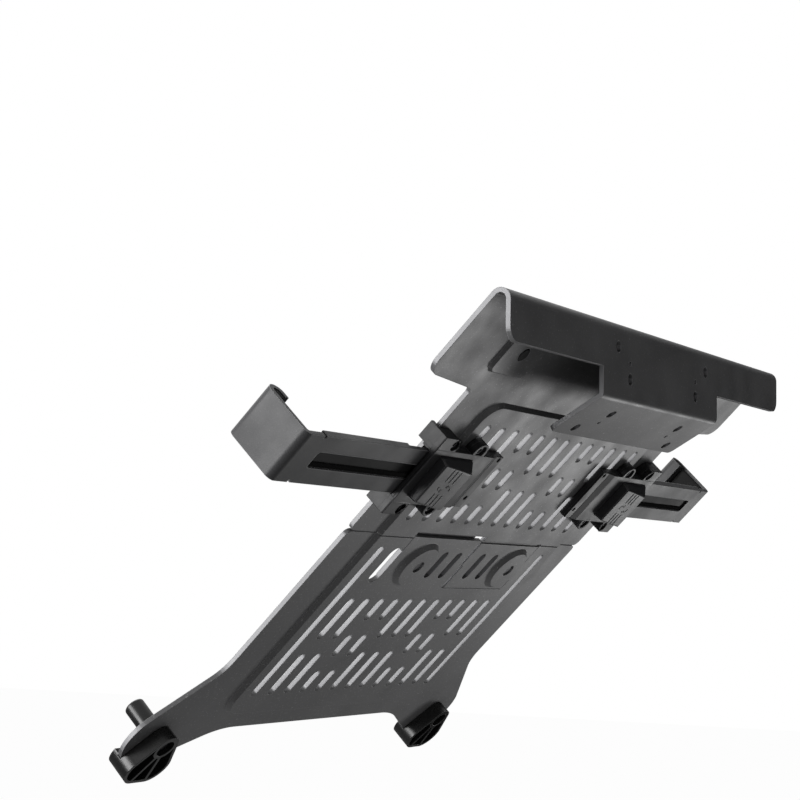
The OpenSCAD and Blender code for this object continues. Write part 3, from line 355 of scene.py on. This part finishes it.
mouldedBlack = {
    "dark": (0.014, 0.014, 0.015), "light": (0.020, 0.020, 0.021),
    "speckColour": (0.05, 0.05, 0.05), "speck": 0.3, "blotchSize": 0.03, "grainSize": 0.0004,
    "rough": (0.36, 0.5), "bump": 0.35, "bumpDepth": 0.00003, "metal": 0, "shine": 0.18,
    "edge": 0.0003, "wearAndHighlight": 0.3, "wearAndHighlightColour": (0.12, 0.12, 0.12),
}
buttonGrey = {
    **mouldedBlack, "dark": (0.020, 0.020, 0.022), "light": (0.028, 0.028, 0.030),
    "rough": (0.32, 0.42), "shine": 0.16, "speckColour": (0.15, 0.15, 0.15),
    # the pale edge colour at full strength paints a bright highlight line along the cap's edges
    "wearAndHighlightColour": (0.62, 0.62, 0.62), "wearAndHighlight": 1.0, "edge": 0.0009,
}
rubber = {
    **mouldedBlack, "dark": (0.010, 0.010, 0.010), "light": (0.016, 0.016, 0.016),
    "speckColour": (0.04, 0.04, 0.04), "rough": (0.55, 0.75), "bump": 0.6, "wearAndHighlight": 0.2,
    "shine": 0.3,
}
footBlack = {
    **mouldedBlack, "dark": (0.006, 0.006, 0.006), "light": (0.009, 0.009, 0.009),
    "rough": (0.24, 0.34), "shine": 0.3, "bump": 0.15, "wearAndHighlight": 0.1,
}
blackSteel = {
    **mouldedBlack, "dark": (0.030, 0.030, 0.032), "light": (0.045, 0.045, 0.048),
    "speckColour": (0.12, 0.12, 0.12), "metal": 0.6, "rough": (0.3, 0.42), "wearAndHighlight": 0.6,
    "wearAndHighlightColour": (0.30, 0.30, 0.31),
}
brightSteel = {
    **blackSteel, "dark": (0.38, 0.38, 0.39), "light": (0.46, 0.46, 0.47),
    "speckColour": (0.30, 0.30, 0.30), "metal": 1, "wearAndHighlightColour": (0.60, 0.60, 0.60),
}
foam = {
    **mouldedBlack, "dark": (0.016, 0.016, 0.016), "light": (0.026, 0.026, 0.026), "speck": 0.6,
    "grainSize": 0.0007, "rough": (0.85, 0.95), "bump": 0.9, "bumpDepth": 0.00012, "shine": 0.15,
}
arrowMark = {
    **mouldedBlack, "dark": (0.012, 0.012, 0.012), "light": (0.018, 0.018, 0.018), "bump": 0.1,
}


def both(*names):
    return [side + "_" + name for name in names for side in sides]


finishes = {
    "powderCoat": (powderCoat, ["rear_tray_plate", "front_tray_plate"]),
    "armCoat": (armCoat, both("arm")),
    "mouldedBlack": (mouldedBlack, both("clamp_body", "clamp_cover")),
    "buttonGrey": (buttonGrey, both("release_button")),
    "rubber": (rubber, ["rear_bumpers"]),
    "foam": (foam, both("lip_pad", "hook_pad")),
    "footBlack": (footBlack, both("foot", "stop_post")),
    "blackSteel": (blackSteel, ["plate_screws", *both("clamp_screws", "foot_screw")]),
    "arrowMark": (arrowMark, []),
    "brightSteel": (brightSteel, both("button_spring", "pawl", "pawl_pin")),
}
materials = {name: makeFinish(name, look) for name, (look, members) in finishes.items()}
for name, (look, members) in finishes.items():
    for member in members:
        for slot in nodes[member].material_slots:
            slot.material = materials[name]
print("CAD nodes dressed")


# helpers for pieces drawn in the tray's axes
drawing = {"smooth": 30, "bevelAngle": 35}


def roundEdges(piece, width, segments):
    rounder = piece.modifiers.new("edges", "BEVEL")
    rounder.width, rounder.segments = width * millimetre, segments
    rounder.limit_method = "ANGLE"
    return rounder


def onTray(name, bm, side, finish, body, stands, smooth=drawing["smooth"], bevel=None):
    # mirrors to a side, goes to world metres, faces outwards, takes its finish, and rides
    mirror = Matrix.Scale(side, 4, (1, 0, 0))
    bmesh.ops.transform(bm, matrix=trayToWorld @ mirror, verts=bm.verts)
    bmesh.ops.recalc_face_normals(bm, faces=bm.faces)
    piece = newObject(name, bm, smooth)
    if bevel:
        roundEdges(piece, *bevel).angle_limit = math.radians(drawing["bevelAngle"])
    piece.data.materials.append(materials[finish])
    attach(piece, body)
    if stands:
        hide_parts(*stands)
    return piece


def alongW(a, b, depth):
    return Vector((a, b, depth))


def alongV(a, b, depth):
    return Vector((a, depth, b))


def prism(bm, outline, low, high, place=alongW, holes=()):
    # closed solid between two depths, with an outline and any holes given as point loops
    edges = []
    for loop in (outline, *holes):
        ring = [bm.verts.new(place(a, b, low)) for a, b in loop]
        edges += [bm.edges.new((ring[n - 1], ring[n])) for n in range(len(ring))]
    cap = bmesh.ops.triangle_fill(bm, use_beauty=True, use_dissolve=True, edges=edges)["geom"]
    faces = [part for part in cap if isinstance(part, bmesh.types.BMFace)]
    lifted = bmesh.ops.extrude_face_region(bm, geom=faces, use_keep_orig=True)["geom"]
    moved = [part for part in lifted if isinstance(part, bmesh.types.BMVert)]
    bmesh.ops.translate(bm, vec=place(0, 0, high) - place(0, 0, low), verts=moved)


def skin(bm, rings, capped=False):
    # quads between rings with as many points each, open or closed at the two ends
    rings = [[bm.verts.new(point) for point in ring] for ring in rings]
    for lower, upper in zip(rings, rings[1:]):
        for n in range(len(lower)):
            bm.faces.new((lower[n - 1], lower[n], upper[n], upper[n - 1]))
    if capped:
        bm.faces.new(rings[0])
        bm.faces.new(rings[-1])
    return rings


def circle(x, v, r, steps=28):
    return [(x + r * math.cos(2 * math.pi * n / steps),
             v + r * math.sin(2 * math.pi * n / steps)) for n in range(steps)]


def rectangle(x0, x1, v0, v1):
    return [(x0, v0), (x1, v0), (x1, v1), (x0, v1)]


def rounded(x0, x1, v0, v1, radii, steps=6):
    # corners in the order of rectangle, each with its own radius
    points = []
    corners = ((x0, v0, 1, 1), (x1, v0, -1, 1), (x1, v1, -1, -1), (x0, v1, 1, -1))
    for n, ((x, v, dx, dv), r) in enumerate(zip(corners, radii)):
        for k in range(steps + 1 if r else 1):
            angle = math.pi + math.pi / 2 * (n + k / steps)
            points.append((x + dx * r + r * math.cos(angle), v + dv * r + r * math.sin(angle)))
    return points


# clamp housings: depths are w, and "tuck", "lap" and "proud" keep faces out of one plane
housing = {
    "innerX": 52.8, "outerX": 112.6, "frontV": 60.2, "rearV": 89.6, "under": -5.0,
    "endUnder": -3.9, "endSkin": 1.2, "endBlock": 1.1, "stepX": (59.0, 63.5),
    "shelf": -2.6, "seat": -0.15, "channel": (62.4, 86.6), "channelX": 61.5,
    "borderX": 88.6, "borderSeat": 1.85,
    "pocket": (78.8, 105.5, 64.4, 86.8), "pocketDeepX": 107.0, "pocketFloor": -4.0,
    "earReach": 6.3, "earInnerX": 97.8, "earX": 101.3, "earHoleR": 2.8, "earCorner": 5,
    "earFloor": -2.2, "lugX": 77.7, "lugR": 5.0, "lugHoleR": 3.0, "lugShorter": 1,
    "lugShift": 0.6, "lugHoleShift": 0.9, "lugSteps": 16,
    "neckX": 110.4, "hookStart": 0.4, "hookTop": 5.5, "hookLength": 8.4,
    "markX": 55.2, "markV": (65.6, 87.9), "markR": 1.1, "markSteps": 16,
    "tuck": 0.3, "lap": 0.02, "proud": 0.04, "bevel": (0.35, 2),
}


def lugMiddle(wallV, s):
    # centre of a lug's round end
    h = housing
    return wallV + s * (h["earReach"] - h["lugShorter"] - h["lugR"] + h["lugShift"])


def makeHousing(sideName, side):
    h = housing
    bm = bmesh.new()
    x0, x1, v0, v1 = h["innerX"], h["outerX"], h["frontV"], h["rearV"]
    stepX0, stepX1 = h["stepX"]
    # underside: thin inner end, a low ramp, then the level frame with the button's opening
    marks = [circle(h["markX"], v, h["markR"], h["markSteps"]) for v in h["markV"]]
    endTop, blockLow = h["endUnder"] + h["endSkin"], h["endUnder"] + h["endBlock"]
    prism(bm, rectangle(x0, stepX0, v0, v1), h["endUnder"], endTop, holes=marks)
    prism(bm, [(x0, blockLow), (x0, h["seat"]), (h["channelX"], h["seat"]),
               (h["channelX"], blockLow)], v0, v1, alongV)
    prism(bm, [(stepX0, h["endUnder"]), (stepX1, h["under"]), (stepX1, h["shelf"]),
               (stepX0, h["shelf"])], v0, v1, alongV)
    frameBox = rectangle(stepX1, x1, v0, v1)
    p = h["pocket"]
    prism(bm, frameBox, h["under"], h["pocketFloor"], holes=[rectangle(*p)])
    prism(bm, frameBox, h["pocketFloor"], h["shelf"],
          holes=[rectangle(p[0], h["pocketDeepX"], p[2], p[3])])
    # side walls beside the arm's channel, stepped where the plate's border stands higher
    wall = [(h["channelX"], h["shelf"]), (x1, h["shelf"]), (x1, h["borderSeat"]),
            (h["borderX"], h["borderSeat"]), (h["borderX"], h["seat"]), (h["channelX"], h["seat"])]
    for a, b in ((v0, h["channel"][0]), (h["channel"][1], v1)):
        prism(bm, wall, a, b, alongV)
    for s, wallV in ((-1, v0), (1, v1)):
        # outer ear with a deep screw recess
        tipV, rootV = wallV + s * h["earReach"], wallV - s * h["tuck"]
        low, high = sorted((rootV, tipV))
        radii = (h["earCorner"], 0, 0, 0) if s < 0 else (0, 0, 0, h["earCorner"])
        outline = rounded(h["earInnerX"], x1 - h["proud"], low, high, radii)
        hole = circle(h["earX"], (wallV + tipV) / 2, h["earHoleR"])
        prism(bm, outline, h["under"] + h["lap"], h["earFloor"], holes=[hole])
        prism(bm, outline, h["earFloor"], h["borderSeat"] - h["lap"])
        # inner lug with a round end
        x, r, steps, middle = h["lugX"], h["lugR"], h["lugSteps"], lugMiddle(wallV, s)
        outline = [(x - r, rootV)]
        outline += [(x + r * math.cos(math.pi - math.pi * k / steps),
                     middle + s * r * math.sin(math.pi * k / steps)) for k in range(steps + 1)]
        outline.append((x + r, rootV))
        hole = circle(x, middle + s * h["lugHoleShift"], h["lugHoleR"])
        prism(bm, outline, h["under"] + h["lap"], h["earFloor"], holes=[hole])
        prism(bm, outline, h["earFloor"], h["seat"] - h["lap"])
        # outer hook that passes the plate's edge
        a, b = sorted((tipV + s * h["proud"], tipV - s * h["hookLength"]))
        prism(bm, rectangle(h["neckX"], x1 + h["proud"], a, b), h["under"] + h["hookStart"],
              h["hookTop"])
    onTray(sideName + "_clamp_housing", bm, side, "mouldedBlack", "tray",
           (sideName + "_clamp_body", sideName + "_clamp_cover"), bevel=h["bevel"])


for sideName, side in sides.items():
    makeHousing(sideName, side)
print("clamp housings made")


# release buttons: hollow caps with askew ends, grip ridges and two turn arrows
button = {
    # the walls stay upright from the skirt down to "straight", so that the cap can be pressed
    "base": (79.0, 105.3), "baseV": (64.6, 86.6), "skirt": -3.5, "straight": -5.95,
    "top": -9.6, "topX": (79.5, 104.9),
    # v limits of the top face, first at the cap's +X end in the world, then at its -X end
    "topV": ((64.9, 85.6), (61.6, 82.6)),
    "wall": 1.1, "edge": (0.55, 3), "markSunk": 0.3,
    "ridgeHeight": 0.25, "ridgeWidth": 0.9, "ridgeLength": 6.6, "ridgeStep": 3.6,
    "ridgeOffset": 6.6, "ridgeEnd": 0.9, "ridgeSteps": 4, "ridgeBevel": (0.15, 2),
    "arrowR": 2.3, "arrowWidth": 0.6, "arrowHeight": 0.15, "arrowApart": 1.15,
    "arrowSquash": 0.7, "arrowFrom": {1: 200, -1: 20}, "arrowSweep": 130, "arrowSteps": 10,
    "arrowTip": (1.6, 0.95),
}


def makeButton(sideName, side):
    b = button
    topX, top = b["topX"], b["top"]
    # rings of four corners: skirt end, end of the upright walls, top face
    ends = b["topV"][::-1] if side > 0 else b["topV"]
    levels = ((b["skirt"], b["base"], (b["baseV"], b["baseV"])),
              (b["straight"], b["base"], (b["baseV"], b["baseV"])), (top, topX, ends))
    bm = bmesh.new()
    rings = skin(bm, [[(xs[n], vs[n][m], depth) for n, m in ((0, 0), (1, 0), (1, 1), (0, 1))]
                      for depth, xs, vs in levels])
    bm.faces.new(rings[-1])
    cap = onTray(sideName + "_button_cap", bm, side, "buttonGrey", sideName + "_button",
                 (sideName + "_release_button",))
    shell = cap.modifiers.new("wall", "SOLIDIFY")
    shell.thickness, shell.offset, shell.use_even_offset = b["wall"] * millimetre, -1, True
    roundEdges(cap, *b["edge"])

    # the marks follow the middle line of the askew face
    def faceMiddle(x):
        share = (x - topX[0]) / (topX[1] - topX[0])
        return sum(ends[0]) / 2 * (1 - share) + sum(ends[1]) / 2 * share

    middleX = sum(topX) / 2
    bm = bmesh.new()
    for s in (-1, 1):
        for n in (-1, 0, 1):
            x = middleX + n * b["ridgeStep"]
            v = faceMiddle(x) + s * b["ridgeOffset"]
            halfWidth, halfLength = b["ridgeWidth"] / 2, b["ridgeLength"] / 2
            outline = rounded(x - halfWidth, x + halfWidth, v - halfLength, v + halfLength,
                              (halfWidth * b["ridgeEnd"],) * 4, b["ridgeSteps"])
            prism(bm, outline, top - b["ridgeHeight"], top + b["markSunk"])
    onTray(sideName + "_button_ridges", bm, side, "buttonGrey", sideName + "_button", (),
           bevel=b["ridgeBevel"])

    # each arrow is an arc with a pointed head
    bm = bmesh.new()
    r, halfWidth, squash = b["arrowR"], b["arrowWidth"] / 2, b["arrowSquash"]
    depths = top - b["arrowHeight"], top + b["markSunk"]
    for s in (-1, 1):
        x = middleX - s * r * b["arrowApart"]
        v = faceMiddle(x)
        angles = [math.radians(b["arrowFrom"][s] - b["arrowSweep"] * k / b["arrowSteps"])
                  for k in range(b["arrowSteps"] + 1)]
        outer, inner = ([(x + reach * math.cos(a), v + reach * math.sin(a) * squash)
                         for a in angles] for reach in (r + halfWidth, r - halfWidth))
        prism(bm, outer + inner[::-1], *depths)
        a = angles[-1]
        tip = Vector((x + r * math.cos(a), v + r * math.sin(a) * squash))
        along = Vector((math.sin(a), -math.cos(a) * squash)).normalized()
        across = Vector((-along.y, along.x))
        length, half = b["arrowTip"]
        head = [tip + along * length, tip + across * half, tip - across * half]
        prism(bm, [tuple(q) for q in head], *depths)
    onTray(sideName + "_button_arrows", bm, side, "arrowMark", sideName + "_button", ())


for sideName, side in sides.items():
    makeButton(sideName, side)
print("release buttons made")


# screws, nuts, pins and pawls
screw = {
    "head": 2.75, "shank": 1.45, "nut": 3.2, "nutSides": 6, "nutHeight": 1.2, "chamfer": 0.3,
    "earTop": -4.0, "socket": 1.35, "socketDepth": 1.1, "headGap": 0.05, "nutGap": 0.02,
    "shankPast": 0.6, "earNut": 4.0, "lugNut": 2.0,
    "pinX": 92.0, "pinW": -5.2, "pinR": 0.75, "pinV": (66.8, 83.8), "pinSteps": 20,
    # side view of the pawl: a lever on the pin, with two teeth at the rack's end
    "leverV": (67.0, 82.5), "leverBevel": (0.2, 2),
    "lever": [(84.0, -5.9), (88.0, -6.4), (92.0, -6.7), (98.0, -6.0), (103.6, -4.7), (104.0, -3.5),
              (103.3, -2.7), (102.7, -3.6), (102.0, -2.7), (101.4, -3.6), (100.6, -4.0),
              (96.0, -4.5), (92.0, -4.0), (86.0, -4.4), (84.0, -4.9)],
    "jointX": (37.5, -51.0), "jointV": 21.8, "jointR": 6.2, "jointTop": 3.4, "jointBase": 2.15,
    "jointShank": 3.1, "jointEnd": -1.25, "jointSocket": 2.3, "jointSocketDepth": 1.0,
}


def turned(bm, x, v, profile, steps=32, capped=False):
    # profile of (radius, depth) pairs turned round an axis square to the plate
    return skin(bm, [[(a, b, w) for a, b in circle(x, v, r, steps)] for r, w in profile], capped)


def capScrew(bm, x, v, headEnd, headBase, farEnd, headR, shankR, socketR, socketDepth):
    # round head with a chamfer and a hexagon socket, and a plain shank to the far end
    s = 1 if headBase > headEnd else -1
    c = screw["chamfer"]
    rings = turned(bm, x, v, [(headR - c, headEnd), (headR, headEnd + s * c), (headR, headBase),
                              (shankR, headBase), (shankR, farEnd - s * c), (shankR - c, farEnd)])
    bm.faces.new(rings[-1])
    steps = len(rings[0])
    hexagon = []
    for n in range(steps):
        # a hexagon with as many points as the head's edge, so that the two bridge one to one
        angle = 2 * math.pi * n / steps
        bend = math.cos(math.fmod(angle, math.pi / 3) - math.pi / 6)
        reach = socketR * math.cos(math.pi / 6) / bend
        hexagon.append((x + reach * math.cos(angle), v + reach * math.sin(angle)))
    lip = [bm.verts.new((a, b, headEnd)) for a, b in hexagon]
    floor = [bm.verts.new((a, b, headEnd + s * socketDepth)) for a, b in hexagon]
    for n in range(steps):
        bm.faces.new((rings[0][n], rings[0][n - 1], lip[n - 1], lip[n]))
        bm.faces.new((lip[n], lip[n - 1], floor[n - 1], floor[n]))
    bm.faces.new(floor)


def makeMetal(sideName, side):
    k, h = screw, housing
    bm = bmesh.new()
    for s, wallV in ((-1, h["frontV"]), (1, h["rearV"])):
        earV = wallV + s * h["earReach"] / 2
        lugV = lugMiddle(wallV, s) + s * h["lugHoleShift"]
        for x, v, nutAt in ((h["earX"], earV, k["earNut"]), (h["lugX"], lugV, k["lugNut"])):
            nutEnd = nutAt + k["nutHeight"]
            capScrew(bm, x, v, k["earTop"], h["earFloor"] + k["headGap"], nutEnd + k["shankPast"],
                     k["head"], k["shank"], k["socket"], k["socketDepth"])
            prism(bm, circle(x, v, k["nut"], k["nutSides"]), nutAt + k["nutGap"], nutEnd)
    onTray(sideName + "_housing_screws", bm, side, "blackSteel", "tray",
           (sideName + "_clamp_screws",))
    bm = bmesh.new()
    pin = circle(k["pinX"], k["pinW"], k["pinR"], k["pinSteps"])
    skin(bm, [[(x, v, w) for x, w in pin] for v in k["pinV"]], capped=True)
    onTray(sideName + "_hinge_pin", bm, side, "brightSteel", "tray", (sideName + "_pawl_pin",))
    bm = bmesh.new()
    prism(bm, k["lever"], *k["leverV"], place=alongV)
    onTray(sideName + "_ratchet_pawl", bm, side, "brightSteel", sideName + "_pawl",
           (sideName + "_pawl",), bevel=k["leverBevel"])


def makeJointScrews():
    k = screw
    bm = bmesh.new()
    for x in k["jointX"]:
        capScrew(bm, x, k["jointV"], k["jointTop"], k["jointBase"], k["jointEnd"], k["jointR"],
                 k["jointShank"], k["jointSocket"], k["jointSocketDepth"])
    onTray("joint_screws", bm, 1, "blackSteel", "tray", ("plate_screws",))


for sideName, side in sides.items():
    makeMetal(sideName, side)
makeJointScrews()
print("screws, pins and pawls made")


# rubber bumpers on the wings
bumper = {
    "place": (97.7, 138.1), "half": (12.9, 9.4), "cornerR": 3.0, "cornerShare": 0.6,
    "smallestR": 0.8, "low": 2.5, "top": 7.0, "smooth": 40,
    # how far each outline draws in, and how far it lies below the top: a crown with a groove
    "crown": ((0.0, 1.6), (0.25, 0.8), (0.9, 0.25), (1.9, 0), (3.2, 0), (3.6, 0.35), (4.4, 0.35),
              (4.8, 0)),
    "plugR": 3.1, "plugRoot": 0.5, "plugEnd": 0.9, "plugTip": 0.2, "plugTaper": 0.5,
    "plugSteps": 24,
}


def makeBumpers():
    k = bumper
    (x, v), (halfX, halfV) = k["place"], k["half"]
    levels = [(0.0, k["low"])] + [(inset, k["top"] - drop) for inset, drop in k["crown"]]
    bm = bmesh.new()
    for side in (-1, 1):
        rings = []
        for inset, w in levels:
            corner = max(k["cornerR"] - inset * k["cornerShare"], k["smallestR"])
            outline = rounded(x - halfX + inset, x + halfX - inset, v - halfV + inset,
                              v + halfV - inset, (corner,) * 4)
            rings.append([(side * a, b, w) for a, b in outline])
        skin(bm, rings, capped=True)
        plug = [(k["plugR"], k["low"] + k["plugRoot"]), (k["plugR"], k["plugEnd"]),
                (k["plugR"] - k["plugTaper"], k["plugTip"])]
        turned(bm, side * x, v, plug, k["plugSteps"], capped=True)
    onTray("bumper_pads", bm, 1, "rubber", "tray", ("rear_bumpers",), smooth=k["smooth"])


# foam in the hooks: a round strip in the curl and a thin crowned pad on the inner face
pads = {
    "lipX": 196.7, "lipW": (17.0, 20.5), "lipV": (63.1, 85.9), "lipR": 1.9, "lipSteps": 14,
    # how far the strip draws in, and how far along from its end
    "lipEnds": ((0.75, 0), (0.35, 0.15), (0.1, 0.45), (0, 1.0)), "lipWaist": (0.06, 6),
    "faceX": (197.2, 198.7), "faceV": (64.0, 85.0), "faceW": (1.3, 16.5), "faceCorner": 1.2,
    # how far the pad draws in, and how far in front of it that is
    "faceCrown": ((0, 0.7), (0.15, 0.35), (0.5, 0.12), (1.4, 0.04), (3.0, 0)),
    "smooth": 50, "fill": 0.9,
}


def makePads(sideName, side):
    k = pads
    x, (w0, w1), (v0, v1) = k["lipX"], k["lipW"], k["lipV"]
    waist, reach = k["lipWaist"]
    levels = [(inset, v0 + run) for inset, run in k["lipEnds"]]
    levels += [(waist, v0 + reach), (0, (v0 + v1) / 2), (waist, v1 - reach)]
    levels += [(inset, v1 - run) for inset, run in k["lipEnds"][::-1]]
    rings = []
    for inset, v in levels:
        r, steps = k["lipR"] - inset, k["lipSteps"]
        arc = [(x + r * math.cos(math.pi * n / steps), v, w1 + r * math.sin(math.pi * n / steps))
               for n in range(steps + 1)]
        rings.append([(x + r, v, w0 + inset), *arc, (x - r, v, w0 + inset)])
    bm = bmesh.new()
    skin(bm, rings, capped=True)
    strip = onTray(sideName + "_lip_foam", bm, side, "foam", sideName + "_arm",
                   (sideName + "_lip_pad",), smooth=k["smooth"])

    (x0, x1), (v0, v1), (w0, w1) = k["faceX"], k["faceV"], k["faceW"]
    levels = [(0, x1)] + [(inset, x0 + out) for inset, out in k["faceCrown"]]
    rings = []
    for inset, x in levels:
        outline = rounded(v0 + inset, v1 - inset, w0 + inset, w1 - inset, (k["faceCorner"],) * 4)
        rings.append([(x, v, w) for v, w in outline])
    bm = bmesh.new()
    skin(bm, rings, capped=True)
    pad = onTray(sideName + "_hook_foam", bm, side, "foam", sideName + "_arm",
                 (sideName + "_hook_pad",), smooth=k["smooth"])


makeBumpers()
for sideName, side in sides.items():
    makePads(sideName, side)
print("rubber and foam made")
